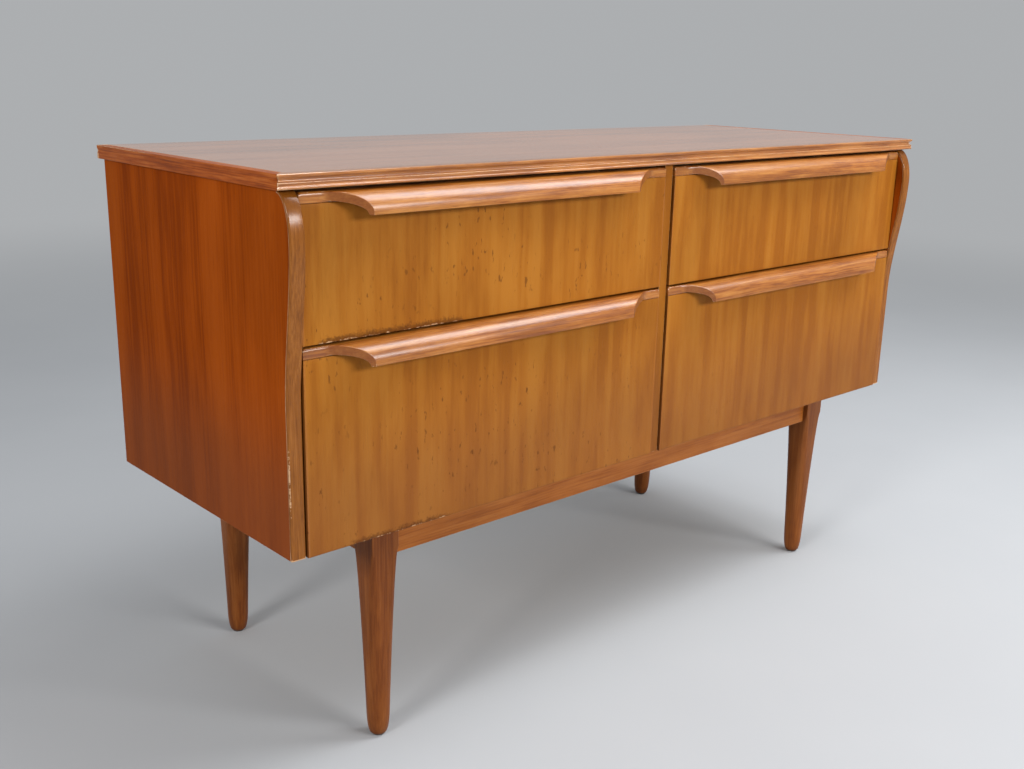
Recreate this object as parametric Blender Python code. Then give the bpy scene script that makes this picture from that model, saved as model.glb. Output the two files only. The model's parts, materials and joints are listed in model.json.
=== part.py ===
"""Low dresser with four drawers in two columns, on a leg frame.

Frame: X runs along the front, +Y points to the back, +Z is up, in metres. The origin is on the floor,
under the middle of the whole box that the dresser fills, handles included.
"""
import math

import bmesh
import bpy
from mathutils import Matrix, Vector

# Whole object
TOP_WIDTH = 1.220
TOP_DEPTH = 0.436
TOTAL_HEIGHT = 0.724
CARCASE_BOTTOM_Z = 0.298
FIT_GAP = 0.0003

# Top board and its moulded edge
TOP_THICKNESS = 0.017
MOULDING_WIDTH = 0.014
SIDE_OVERHANG = 0.0085

# Moulded edge, (in from the outermost edge, down from the top): a lip, a cove, a ridge and a bead
MOULDING_CURVE = (
    (0.0014, 0.0000),
    (0.0003, 0.0007),
    (0.0000, 0.0020),
    (0.0003, 0.0034),
    (0.0016, 0.0046),
    (0.0028, 0.0062),
    (0.0030, 0.0076),
    (0.0020, 0.0090),
    (0.0007, 0.0096),
    (0.0010, 0.0120),
    (0.0006, 0.0142),
    (0.0006, 0.0155),
    (0.0016, 0.0166),
    (0.0030, TOP_THICKNESS),
)

# Carcase boards
SIDE_THICKNESS = 0.0185
LIPPING_THICKNESS = 0.003
DIVIDER_THICKNESS = 0.016
DIVIDER_LIPPING_SETBACK = 0.010
BOTTOM_THICKNESS = 0.016
RAIL_WIDTH = 0.060
RAIL_THICKNESS = 0.018
BACK_THICKNESS = 0.004
BACK_INSET = 0.002

# Curved front edge of the sides, measured back from the front edge of the top
EDGE_LOW_SETBACK = 0.0095
EDGE_BULGE_SETBACK = -0.0078
EDGE_TOP_SETBACK = 0.0162
EDGE_CURVE_START_Z = 0.470
EDGE_BULGE_Z = 0.655
EDGE_ROUNDING = 0.0018

# Drawers
FACE_SETBACK = 0.007
FRONT_THICKNESS = 0.018
SIDE_CLEARANCE = 0.0015
DRAWER_GAP = 0.0026
DRAWER_SPLIT_Z = 0.5395
TOP_CLEARANCE = 0.0035
BOX_DEPTH = 0.380
BOX_WALL = 0.011
BOX_GROOVE_DEPTH = 0.004
BOX_GROOVE_HEIGHT = 0.008
BOX_BOTTOM_THICKNESS = 0.004
BOX_BACK_DROP = 0.006
BOX_SIDE_GAP = 0.0005
FRONT_CLEARANCE = 0.0025

# Runners that carry the drawer sides
RUNNER_WIDTH = 0.014
RUNNER_HEIGHT = 0.018
RUNNER_STOP_LENGTH = 0.012
RUNNER_STOP_HEIGHT = 0.012
RUNNER_FRONT_SETBACK = 0.030
UPPER_BOX_LIFT = 0.012
BOX_HEADROOM = 0.004

# Handle rails along the tops of the drawer fronts
HANDLE_RAIL_HEIGHT = 0.012
HANDLE_PROJECTION = 0.024
HANDLE_DROP = 0.026
HANDLE_CURVE_HEIGHT = 0.0155
HANDLE_TIP = 0.0022
HANDLE_UNDERSIDE_TOP = 0.0105
HANDLE_END_FLAT = 0.022
HANDLE_SCOOP_BLEND = 0.016
HANDLE_SCOOP_LENGTH = 0.056
CUTTER_MARGIN = 0.010

# Leg frame
LEG_SIDE = 0.040
LEG_CENTRE_X = 0.4535
FRONT_LEG_SETBACK = 0.059
REAR_LEG_INSET = 0.023
REAR_LEG_KICK = 0.008
LEG_TAPER_TOP_Z = 0.262
LEG_ROUND_Z = 0.030
LEG_ARRIS = 0.001
LEG_ROUNDEST = 0.995
FOOT_RADIUS = 0.0142
FOOT_ROUNDING = 0.0057
FOOT_ROUNDING_HEIGHT = 0.034
FRAME_RAIL_HEIGHT = 0.049
FRAME_RAIL_THICKNESS = 0.020
FRAME_RAIL_RECESS = 0.008
GLIDE_RADIUS = 0.0085
GLIDE_HEIGHT = 0.0022

# Levels that follow from the sizes above
TOP_FRONT_Y = -(TOP_DEPTH + HANDLE_PROJECTION - FACE_SETBACK) / 2 + HANDLE_PROJECTION - FACE_SETBACK
BACK_Y = TOP_FRONT_Y + TOP_DEPTH
TOP_UNDERSIDE_Z = TOTAL_HEIGHT - TOP_THICKNESS
BOARD_TOP_Z = TOP_UNDERSIDE_Z - FIT_GAP
SIDE_OUTER_X = TOP_WIDTH / 2 - SIDE_OVERHANG
SIDE_INNER_X = SIDE_OUTER_X - SIDE_THICKNESS
DIVIDER_X = DIVIDER_THICKNESS / 2
FACE_Y = TOP_FRONT_Y + FACE_SETBACK
FRONT_BACK_Y = FACE_Y + FRONT_THICKNESS
INNER_FRONT_Y = FRONT_BACK_Y + FRONT_CLEARANCE
BACK_PANEL_Y = BACK_Y - BACK_INSET - BACK_THICKNESS
INNER_BACK_Y = BACK_PANEL_Y - FIT_GAP
FLOOR_BOARD_TOP_Z = CARCASE_BOTTOM_Z + BOTTOM_THICKNESS
TOP_RAIL_UNDERSIDE_Z = BOARD_TOP_Z - RAIL_THICKNESS
LEG_TOP_Z = CARCASE_BOTTOM_Z - FIT_GAP
FRONT_LEG_Y = TOP_FRONT_Y + FRONT_LEG_SETBACK
REAR_LEG_Y = BACK_Y - REAR_LEG_INSET

# Colour (linear RGB) and roughness of each finish
FINISHES = {
    "side_veneer": ((0.270, 0.072, 0.018), 0.36),
    "top_veneer": ((0.300, 0.120, 0.048), 0.20),
    "front_veneer": ((0.430, 0.170, 0.042), 0.36),
    "solid_teak": ((0.380, 0.140, 0.046), 0.32),
    "leg_teak": ((0.270, 0.090, 0.028), 0.38),
    "drawer_timber": ((0.520, 0.360, 0.190), 0.62),
    "hardboard": ((0.240, 0.140, 0.075), 0.72),
    "glide": ((0.045, 0.040, 0.036), 0.45),
}


def clear_scene():
    for item in list(bpy.data.objects):
        bpy.data.objects.remove(item, do_unlink=True)


def finish_material(node, finish):
    """Principled material of one node, in the colour of its finish."""
    colour, roughness = FINISHES[finish]
    material = bpy.data.materials.new(node)
    material.use_nodes = True
    shader = material.node_tree.nodes["Principled BSDF"]
    shader.inputs["Base Color"].default_value = (*colour, 1.0)
    shader.inputs["Roughness"].default_value = roughness
    shader.inputs["Metallic"].default_value = 0.0
    return material


def add_object(node, bm, finish, parent=None, smooth_angle=None):
    """Turn a bmesh into the named object of one sub-part."""
    bmesh.ops.recalc_face_normals(bm, faces=bm.faces)
    mesh = bpy.data.meshes.new(node)
    bm.to_mesh(mesh)
    bm.free()
    if smooth_angle is not None:
        mesh.shade_smooth()
        mesh.set_sharp_from_angle(angle=math.radians(smooth_angle))
    piece = bpy.data.objects.new(node, mesh)
    piece.data.materials.append(finish_material(node, finish))
    bpy.context.scene.collection.objects.link(piece)
    if parent is not None:
        piece.parent = parent
        piece.matrix_parent_inverse = parent.matrix_world.inverted()
    return piece


def box_bmesh(low, high):
    """Board with its lowest corner at low and its highest corner at high."""
    bm = bmesh.new()
    size = [b - a for a, b in zip(low, high)]
    centre = Vector((a + b) / 2 for a, b in zip(low, high))
    bmesh.ops.create_cube(bm, size=1.0)
    bmesh.ops.scale(bm, vec=size, verts=bm.verts)
    bmesh.ops.translate(bm, vec=centre, verts=bm.verts)
    return bm


def add_board(node, low, high, finish, parent=None):
    return add_object(node, box_bmesh(low, high), finish, parent)


def loft_bmesh(rings):
    """Closed solid through rings of points, with a flat cap at each end."""
    bm = bmesh.new()
    loops = [[bm.verts.new(point) for point in ring] for ring in rings]
    count = len(rings[0])
    for lower, upper in zip(loops, loops[1:]):
        for i in range(count):
            j = (i + 1) % count
            bm.faces.new((lower[i], lower[j], upper[j], upper[i]))
    bm.faces.new(list(reversed(loops[0])))
    bm.faces.new(loops[-1])
    return bm


def extrude_yz(outline, low_x, high_x):
    """Solid with the (y, z) outline, from low_x to high_x."""
    return loft_bmesh([[(x, y, z) for y, z in outline] for x in (low_x, high_x)])


def smooth_step(t):
    return t * t * (3 - 2 * t)


# ---------------------------------------------------------------- top

def moulding_profile():
    """(outward, z) outline of the top's edge."""
    curve = [(MOULDING_WIDTH - inset, TOTAL_HEIGHT - drop) for inset, drop in MOULDING_CURVE]
    return [(0.0, TOTAL_HEIGHT), *curve, (0.0, TOP_UNDERSIDE_Z)]


def build_top():
    inner_x = TOP_WIDTH / 2 - MOULDING_WIDTH
    inner_y = TOP_FRONT_Y + MOULDING_WIDTH
    add_board(
        "top_board",
        (-inner_x + FIT_GAP, inner_y + FIT_GAP, TOP_UNDERSIDE_Z),
        (inner_x - FIT_GAP, BACK_Y, TOTAL_HEIGHT),
        "top_veneer",
    )
    profile = moulding_profile()
    half_gap = FIT_GAP / math.sqrt(2)
    front_rings = []
    for side in (-1, 1):
        reach = inner_x - half_gap
        front_rings.append([(side * (reach + out), inner_y - out, z) for out, z in profile])
    add_object("top_moulding_front", loft_bmesh(front_rings), "solid_teak", smooth_angle=35)
    for side, name in ((-1, "left"), (1, "right")):
        mitre = [(side * (inner_x + out), inner_y - out + half_gap, z) for out, z in profile]
        square = [(side * (inner_x + out), BACK_Y, z) for out, z in profile]
        add_object("top_moulding_" + name, loft_bmesh([mitre, square]), "solid_teak", smooth_angle=35)


# ---------------------------------------------------------------- carcase

def edge_curve(inset):
    """(y, z) points up the curved front edge of a side, moved square into the side by an inset."""
    steps = 10
    forward = EDGE_BULGE_SETBACK - EDGE_LOW_SETBACK
    climb = EDGE_BULGE_Z - EDGE_CURVE_START_Z
    back = EDGE_TOP_SETBACK - EDGE_BULGE_SETBACK
    roll = BOARD_TOP_Z - EDGE_BULGE_Z
    traced = [(EDGE_LOW_SETBACK, CARCASE_BOTTOM_Z, 0.0, climb)]
    for i in range(steps + 1):
        t = i / steps
        setback = EDGE_LOW_SETBACK + forward * smooth_step(t)
        traced.append((setback, EDGE_CURVE_START_Z + climb * t, forward * 6 * t * (1 - t), climb))
    for i in range(1, steps + 1):
        angle = math.pi / 2 * i / steps
        setback = EDGE_TOP_SETBACK - back * math.cos(angle)
        z = EDGE_BULGE_Z + roll * math.sin(angle)
        traced.append((setback, z, back * math.sin(angle), roll * math.cos(angle)))
    points = []
    for setback, z, run, rise in traced:
        length = math.hypot(run, rise)
        points.append((TOP_FRONT_Y + setback + inset * rise / length, z - inset * run / length))
    return points


def panel_outline():
    """(y, z) outline of a side panel, cut back in front for its lipping."""
    curve = edge_curve(LIPPING_THICKNESS + FIT_GAP)
    shoulder_y = TOP_FRONT_Y + EDGE_TOP_SETBACK + FIT_GAP
    curve.append((shoulder_y, curve[-1][1]))
    return [*curve, (shoulder_y, BOARD_TOP_Z), (BACK_Y, BOARD_TOP_Z), (BACK_Y, CARCASE_BOTTOM_Z)]


def lipping_rings(low_x, high_x):
    """Sections across a side's thin front lipping, with its two long arrises eased."""
    steps = 2
    inner = list(reversed(edge_curve(LIPPING_THICKNESS)))
    rings = []
    for i in range(steps + 1):
        angle = math.pi / 2 * i / steps
        outer = edge_curve(EDGE_ROUNDING * (1 - math.sin(angle)))
        x = EDGE_ROUNDING * (1 - math.cos(angle))
        rings.append((low_x + x, outer + inner))
    rings.extend([(low_x + high_x - x, outline) for x, outline in reversed(rings)])
    return [[(x, y, z) for y, z in outline] for x, outline in rings]


def build_sides():
    for side, name in ((-1, "left"), (1, "right")):
        low_x, high_x = sorted((side * SIDE_INNER_X, side * SIDE_OUTER_X))
        panel = extrude_yz(panel_outline(), low_x, high_x)
        add_object("side_panel_" + name, panel, "side_veneer", smooth_angle=35)
        lipping = loft_bmesh(lipping_rings(low_x, high_x))
        add_object("side_lipping_" + name, lipping, "solid_teak", smooth_angle=35)


def build_inner_carcase():
    inner_x = SIDE_INNER_X - FIT_GAP
    lipping_back_y = INNER_FRONT_Y - FIT_GAP
    add_board(
        "bottom_board",
        (-inner_x, INNER_FRONT_Y, CARCASE_BOTTOM_Z),
        (inner_x, INNER_BACK_Y, FLOOR_BOARD_TOP_Z),
        "drawer_timber",
    )
    for name, low_y in (("front", INNER_FRONT_Y), ("rear", INNER_BACK_Y - RAIL_WIDTH)):
        add_board(
            "top_rail_" + name,
            (-inner_x, low_y, TOP_RAIL_UNDERSIDE_Z),
            (inner_x, low_y + RAIL_WIDTH, BOARD_TOP_Z),
            "drawer_timber",
        )
    add_board(
        "centre_divider",
        (-DIVIDER_X, INNER_FRONT_Y, FLOOR_BOARD_TOP_Z + FIT_GAP),
        (DIVIDER_X, INNER_BACK_Y, TOP_RAIL_UNDERSIDE_Z - FIT_GAP),
        "drawer_timber",
    )
    add_board(
        "divider_lipping",
        (-DIVIDER_X, TOP_FRONT_Y + DIVIDER_LIPPING_SETBACK, CARCASE_BOTTOM_Z),
        (DIVIDER_X, lipping_back_y, BOARD_TOP_Z),
        "solid_teak",
    )
    add_board(
        "back_panel",
        (-inner_x, BACK_PANEL_Y, CARCASE_BOTTOM_Z),
        (inner_x, BACK_PANEL_Y + BACK_THICKNESS, BOARD_TOP_Z),
        "hardboard",
    )


# ---------------------------------------------------------------- drawers

def drawer_layout():
    """Name, side of the dresser, and the levels of each drawer."""
    lower_top = DRAWER_SPLIT_Z - DRAWER_GAP / 2
    upper_bottom = DRAWER_SPLIT_Z + DRAWER_GAP / 2
    upper_box_z = upper_bottom + UPPER_BOX_LIFT
    lower_box_z = FLOOR_BOARD_TOP_Z + RUNNER_HEIGHT + 2 * FIT_GAP
    upper_box_top = TOP_RAIL_UNDERSIDE_Z - BOX_HEADROOM
    lower_box_top = upper_box_z - RUNNER_HEIGHT - FIT_GAP - BOX_HEADROOM
    rows = (
        ("upper", upper_bottom, TOP_UNDERSIDE_Z - TOP_CLEARANCE, upper_box_z, upper_box_top),
        ("lower", CARCASE_BOTTOM_Z, lower_top, lower_box_z, lower_box_top),
    )
    for row, front_low, front_high, box_low, box_high in rows:
        for side, column in ((-1, "left"), (1, "right")):
            yield row + "_" + column, side, front_low, front_high, box_low, box_high


def handle_profile(top_z):
    """(y, z) outline of a handle rail: flush strip, hooked lip and hollow underside."""
    steps = 9
    points = [(FRONT_BACK_Y, top_z - HANDLE_RAIL_HEIGHT), (FRONT_BACK_Y, top_z)]
    for i in range(steps + 1):
        angle = math.pi / 2 * i / steps
        drop = HANDLE_CURVE_HEIGHT * (1 - math.cos(angle))
        points.append((FACE_Y - HANDLE_PROJECTION * math.sin(angle), top_z - drop))
    points.append((FACE_Y - HANDLE_PROJECTION, top_z - HANDLE_DROP + HANDLE_TIP / 2))
    points.append((FACE_Y - HANDLE_PROJECTION + HANDLE_TIP / 2, top_z - HANDLE_DROP))
    reach = HANDLE_PROJECTION - HANDLE_TIP
    fall = HANDLE_DROP - HANDLE_UNDERSIDE_TOP
    for i in range(steps, -1, -1):
        angle = math.pi / 2 * i / steps
        drop = HANDLE_UNDERSIDE_TOP + fall * (1 - math.cos(angle))
        points.append((FACE_Y - reach * math.sin(angle), top_z - drop))
    points.append((FACE_Y, top_z - HANDLE_RAIL_HEIGHT))
    return points


def scoop_outline(end_x, direction):
    """(x, y) outline, seen from above, of what is cut from a handle's lip at one end."""
    steps = 6
    slope = HANDLE_PROJECTION / (HANDLE_SCOOP_LENGTH - HANDLE_SCOOP_BLEND / 2)
    reaches = []
    for i in range(steps + 1):
        along = HANDLE_SCOOP_BLEND * i / steps
        reaches.append((along, slope * along ** 2 / (2 * HANDLE_SCOOP_BLEND)))
    reaches.append((HANDLE_SCOOP_LENGTH + CUTTER_MARGIN / slope, HANDLE_PROJECTION + CUTTER_MARGIN))
    start_x = end_x + direction * HANDLE_END_FLAT
    outside_x = end_x - direction * CUTTER_MARGIN
    outline = [(outside_x, FACE_Y)]
    outline.extend((start_x + direction * along, FACE_Y - reach) for along, reach in reaches)
    outline.append((outside_x, FACE_Y - HANDLE_PROJECTION - CUTTER_MARGIN))
    return outline


def scoop_cutter(end_x, direction, top_z):
    """Solid that cuts a handle's lip away at one end: a hollow, then a straight run to the tip."""
    outline = scoop_outline(end_x, direction)
    levels = (top_z - HANDLE_DROP - CUTTER_MARGIN, top_z + CUTTER_MARGIN)
    return loft_bmesh([[(x, y, z) for x, y in outline] for z in levels])


def add_handle(node, low_x, high_x, top_z, parent):
    bm = extrude_yz(handle_profile(top_z), low_x, high_x)
    handle = add_object(node, bm, "solid_teak", parent, smooth_angle=35)
    for end_x, direction, label in ((low_x, 1, "low"), (high_x, -1, "high")):
        cutter_bm = scoop_cutter(end_x, direction, top_z)
        bmesh.ops.recalc_face_normals(cutter_bm, faces=cutter_bm.faces)
        mesh = bpy.data.meshes.new(node + "_scoop_" + label)
        cutter_bm.to_mesh(mesh)
        cutter_bm.free()
        cutter = bpy.data.objects.new(node + "_scoop_" + label, mesh)
        cutter.hide_render = True
        cutter.display_type = "WIRE"
        bpy.context.scene.collection.objects.link(cutter)
        scoop = handle.modifiers.new("scoop_" + label, "BOOLEAN")
        scoop.operation = "DIFFERENCE"
        scoop.solver = "EXACT"
        scoop.object = cutter
    return handle


def box_side_bmesh(outer_x, inner_x, low_z, high_z):
    """Drawer side with the groove that holds the drawer bottom."""
    groove_x = inner_x + (outer_x - inner_x) / BOX_WALL * BOX_GROOVE_DEPTH
    groove_low = low_z + BOX_GROOVE_HEIGHT - FIT_GAP
    groove_high = groove_low + BOX_BOTTOM_THICKNESS + 2 * FIT_GAP
    outline = [
        (outer_x, low_z),
        (outer_x, high_z),
        (inner_x, high_z),
        (inner_x, groove_high),
        (groove_x, groove_high),
        (groove_x, groove_low),
        (inner_x, groove_low),
        (inner_x, low_z),
    ]
    low_y = FRONT_BACK_Y + FIT_GAP
    return loft_bmesh([[(x, y, z) for x, z in outline] for y in (low_y, low_y + BOX_DEPTH)])


def build_drawer(name, side, front_low, front_high, box_low, box_high):
    near_x = side * (DIVIDER_X + SIDE_CLEARANCE)
    far_x = side * (SIDE_INNER_X - SIDE_CLEARANCE)
    low_x, high_x = sorted((near_x, far_x))
    prefix = "drawer_" + name
    body = bpy.data.objects.new(prefix + "_slide", None)
    body.matrix_world = Matrix.Translation(((low_x + high_x) / 2, FACE_Y, (front_low + front_high) / 2))
    bpy.context.scene.collection.objects.link(body)

    add_board(
        prefix + "_front",
        (low_x, FACE_Y, front_low),
        (high_x, FRONT_BACK_Y, front_high - HANDLE_RAIL_HEIGHT - FIT_GAP),
        "front_veneer",
        body,
    )
    add_handle(prefix + "_handle", low_x, high_x, front_high, body)

    inner_low = low_x + BOX_SIDE_GAP + BOX_WALL
    inner_high = high_x - BOX_SIDE_GAP - BOX_WALL
    for outer_x, inner_x, wall in (
        (low_x + BOX_SIDE_GAP, inner_low, "left"),
        (high_x - BOX_SIDE_GAP, inner_high, "right"),
    ):
        wall_bm = box_side_bmesh(outer_x, inner_x, box_low, box_high)
        add_object(prefix + "_side_" + wall, wall_bm, "drawer_timber", body)

    bottom_z = box_low + BOX_GROOVE_HEIGHT
    low_y = FRONT_BACK_Y + FIT_GAP
    reach = BOX_GROOVE_DEPTH - FIT_GAP
    add_board(
        prefix + "_bottom",
        (inner_low - reach, low_y, bottom_z),
        (inner_high + reach, low_y + BOX_DEPTH, bottom_z + BOX_BOTTOM_THICKNESS),
        "hardboard",
        body,
    )
    add_board(
        prefix + "_back",
        (inner_low + FIT_GAP, low_y + BOX_DEPTH - BOX_WALL, bottom_z + BOX_BOTTOM_THICKNESS + FIT_GAP),
        (inner_high - FIT_GAP, low_y + BOX_DEPTH, box_high - BOX_BACK_DROP),
        "drawer_timber",
        body,
    )
    build_runners(name, low_x - SIDE_CLEARANCE, high_x + SIDE_CLEARANCE, box_low)


def build_runners(name, bay_low_x, bay_high_x, box_low):
    """The two strips under one drawer's sides, each with a stop block at its rear end."""
    top_z = box_low - FIT_GAP
    low_y = TOP_FRONT_Y + RUNNER_FRONT_SETBACK
    stop_y = FRONT_BACK_Y + BOX_DEPTH + 3 * FIT_GAP
    back_y = stop_y + RUNNER_STOP_LENGTH
    outline = [
        (low_y, top_z - RUNNER_HEIGHT),
        (low_y, top_z),
        (stop_y, top_z),
        (stop_y, top_z + RUNNER_STOP_HEIGHT),
        (back_y, top_z + RUNNER_STOP_HEIGHT),
        (back_y, top_z - RUNNER_HEIGHT),
    ]
    low_start = bay_low_x + FIT_GAP
    high_start = bay_high_x - FIT_GAP - RUNNER_WIDTH
    for start_x, hand in ((low_start, "left"), (high_start, "right")):
        bm = extrude_yz(outline, start_x, start_x + RUNNER_WIDTH)
        add_object("runner_" + name + "_" + hand, bm, "drawer_timber")


# ---------------------------------------------------------------- leg frame

def rounded_square(centre_x, centre_y, z, half, corner):
    """Ring of points around a square with rounded corners."""
    steps = 5
    ring = []
    for quarter in range(4):
        start = quarter * math.pi / 2
        turn_x = math.cos(start + math.pi / 4) * math.sqrt(2) * (half - corner)
        turn_y = math.sin(start + math.pi / 4) * math.sqrt(2) * (half - corner)
        for i in range(steps + 1):
            angle = start + math.pi / 2 * i / steps
            x = centre_x + turn_x + corner * math.cos(angle)
            y = centre_y + turn_y + corner * math.sin(angle)
            ring.append((x, y, z))
    return ring


def leg_rings(centre_x, centre_y, kick):
    """Sections of a leg, from its square head down the rounding taper to its foot."""
    foot_z = GLIDE_HEIGHT + FIT_GAP
    rounding_z = foot_z + FOOT_ROUNDING_HEIGHT
    taper_steps = 10
    levels = [LEG_TOP_Z]
    for i in range(taper_steps + 1):
        levels.append(LEG_TAPER_TOP_Z + (rounding_z - LEG_TAPER_TOP_Z) * i / taper_steps)
    rings = []
    for z in levels:
        share = min((z - foot_z) / (LEG_TAPER_TOP_Z - foot_z), 1.0)
        half = FOOT_RADIUS + (LEG_SIDE / 2 - FOOT_RADIUS) * share
        blend = (LEG_TAPER_TOP_Z - z) / (LEG_TAPER_TOP_Z - LEG_ROUND_Z)
        roundness = math.sqrt(min(max(blend, 0.0), 1.0))
        corner = LEG_ARRIS + (half * LEG_ROUNDEST - LEG_ARRIS) * roundness
        shift = kick * (1 - (z - foot_z) / (LEG_TOP_Z - foot_z))
        rings.append(rounded_square(centre_x, centre_y + shift, z, half, corner))
    last_half = half
    foot_steps = 6
    for i in range(1, foot_steps + 1):
        angle = math.pi / 2 * i / foot_steps
        z = foot_z + FOOT_ROUNDING_HEIGHT * (1 - math.sin(angle))
        half = last_half - FOOT_ROUNDING * (1 - math.cos(angle))
        shift = kick * (1 - (z - foot_z) / (LEG_TOP_Z - foot_z))
        rings.append(rounded_square(centre_x, centre_y + shift, z, half, half * LEG_ROUNDEST))
    return rings


def build_leg_frame():
    legs = []
    for side, column in ((-1, "left"), (1, "right")):
        legs.append(("front_" + column, side * LEG_CENTRE_X, FRONT_LEG_Y, 0.0))
        legs.append(("rear_" + column, side * LEG_CENTRE_X, REAR_LEG_Y, REAR_LEG_KICK))
    for name, x, y, kick in legs:
        add_object("leg_" + name, loft_bmesh(leg_rings(x, y, kick)), "leg_teak", smooth_angle=32)
        disc = bmesh.new()
        bmesh.ops.create_cone(
            disc,
            cap_ends=True,
            segments=20,
            radius1=GLIDE_RADIUS * 0.9,
            radius2=GLIDE_RADIUS,
            depth=GLIDE_HEIGHT,
        )
        bmesh.ops.translate(disc, vec=(x, y + kick, GLIDE_HEIGHT / 2), verts=disc.verts)
        add_object("glide_" + name, disc, "glide", smooth_angle=32)

    low_z = CARCASE_BOTTOM_Z - FRAME_RAIL_HEIGHT
    reach_x = LEG_CENTRE_X - LEG_SIDE / 2 - FIT_GAP
    front_y = FRONT_LEG_Y - LEG_SIDE / 2 + FRAME_RAIL_RECESS
    rear_y = REAR_LEG_Y + LEG_SIDE / 2 - FRAME_RAIL_RECESS - FRAME_RAIL_THICKNESS
    for name, low_y in (("front", front_y), ("rear", rear_y)):
        add_board(
            "frame_rail_" + name,
            (-reach_x, low_y, low_z),
            (reach_x, low_y + FRAME_RAIL_THICKNESS, LEG_TOP_Z),
            "leg_teak",
        )
    side_low_y = FRONT_LEG_Y + LEG_SIDE / 2 + FIT_GAP
    side_high_y = REAR_LEG_Y - LEG_SIDE / 2 - FIT_GAP
    outer_x = LEG_CENTRE_X + LEG_SIDE / 2 - FRAME_RAIL_RECESS
    for side, name in ((-1, "left"), (1, "right")):
        low_x, high_x = sorted((side * outer_x, side * (outer_x - FRAME_RAIL_THICKNESS)))
        add_board(
            "frame_rail_" + name,
            (low_x, side_low_y, low_z),
            (high_x, side_high_y, LEG_TOP_Z),
            "leg_teak",
        )


def main():
    clear_scene()
    build_top()
    build_sides()
    build_inner_carcase()
    for drawer in drawer_layout():
        build_drawer(*drawer)
    build_leg_frame()


main()
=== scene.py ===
"""Looks of a low dresser with four drawers: shaped wood, veneer, lacquer and wear on the fixed model."""

import json
import math

import bmesh
import bpy
from mathutils import Matrix, Vector, noise


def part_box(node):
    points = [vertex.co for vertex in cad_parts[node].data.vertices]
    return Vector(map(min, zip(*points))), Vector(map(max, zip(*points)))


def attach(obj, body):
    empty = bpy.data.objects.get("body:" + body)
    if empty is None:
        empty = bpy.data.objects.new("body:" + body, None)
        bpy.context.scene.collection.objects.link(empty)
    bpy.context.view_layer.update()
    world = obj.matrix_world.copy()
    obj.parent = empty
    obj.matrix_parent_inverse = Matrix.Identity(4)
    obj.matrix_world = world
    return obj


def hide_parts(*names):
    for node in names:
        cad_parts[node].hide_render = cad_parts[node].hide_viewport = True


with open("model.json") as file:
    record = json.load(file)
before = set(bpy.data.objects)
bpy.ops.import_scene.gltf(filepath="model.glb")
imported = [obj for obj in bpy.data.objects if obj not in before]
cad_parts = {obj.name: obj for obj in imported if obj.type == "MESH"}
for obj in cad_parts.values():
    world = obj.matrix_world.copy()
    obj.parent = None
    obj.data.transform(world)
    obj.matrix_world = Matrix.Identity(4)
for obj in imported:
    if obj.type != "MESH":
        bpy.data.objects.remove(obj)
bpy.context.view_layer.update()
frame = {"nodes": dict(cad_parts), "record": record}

# Camera, in the model's frame
CAMERA_PLACE = (-1.2105, -1.2265, 0.8383)
CAMERA_YAW = -0.7371
CAMERA_PITCH = -0.2751
CAMERA_ROLL = 0.0215
CAMERA_LENS = 40.43
SENSOR_WIDTH = 36.0

# Fit between pieces, and how far their edges are eased, in metres
FIT_GAP = 0.0003
BOARD_EASE = 0.0008
TOP_EASE = 0.0002
SIDE_EASE = 0.0004
HANDLE_EASE = 0.0005
LEG_EASE = 0.0008

# Top moulding, (in from the outermost edge, down from the top): a lip, a cove, a ridge and a bead
MOULDING_WIDTH = 0.014
MOULDING_CURVE = (
    (0.0003, 0.0000),
    (0.0000, 0.0016),
    (0.0002, 0.0034),
    (0.0018, 0.0046),
    (0.0032, 0.0060),
    (0.0032, 0.0080),
    (0.0018, 0.0091),
    (0.0004, 0.0096),
    (0.0008, 0.0108),
    (0.0009, 0.0136),
    (0.0001, 0.0144),
    (0.0004, 0.0165),
    (0.0032, 0.0170),
)

# Along the sides of the top the profile is filled nearly flat, past a short blend behind each mitre. It is
# more rubbed at the back, from and up to these distances from the back edge
SIDE_FLATNESS = 0.72
MITRE_BLEND = 0.012
SIDE_RUBBED = 0.55
SIDE_BACK_RUBBED = 0.47
SIDE_BACK_RUB_REACH = (0.25, 0.12)

# Curved front edge of the sides, set back from the front edge of the top
EDGE_LOW_SETBACK = 0.0095
EDGE_TOP_SETBACK = 0.0162
EDGE_CURVE_START_Z = 0.470
EDGE_BULGE_Z = 0.655
EDGE_ROUNDING = 0.0018
LIPPING_THICKNESS = 0.003

# Handles
HANDLE_CURVE_HEIGHT = 0.0228
HANDLE_UNDERSIDE_DROP = 0.0105
HANDLE_TIP = 0.0024
HANDLE_END_FLAT = 0.022
HANDLE_SCOOP_BLEND = 0.016
HANDLE_SCOOP_LENGTH = 0.056
HANDLE_CORNER = 0.003
HANDLE_ARRIS = 0.0038
HANDLE_SHARP_ARRIS = 0.0009
HANDLE_SHARP_REACH = 0.010

# Where a handle's mesh has points: near its end, and before and after the tip of its lip
HANDLE_END_STATIONS = (0.0, 0.0004, 0.0010, 0.0018, 0.0030, 0.010, 0.018)
HANDLE_TIP_STATIONS = (-0.0007, 0.0, 0.0007, 0.003)

# A handle is rubbed this far out from the front, and this far down from its top
HANDLE_RUBBED_OUT = 0.001
HANDLE_RUBBED_DOWN = 0.004

# Legs
LEG_TAPER_TOP_Z = 0.262
LEG_ROUND_Z = 0.030
LEG_ARRIS = 0.0014
LEG_ROUNDEST = 0.995
FOOT_RADIUS = 0.0142
FOOT_ROUNDING = 0.0057
FOOT_ROUNDING_HEIGHT = 0.034

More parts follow.
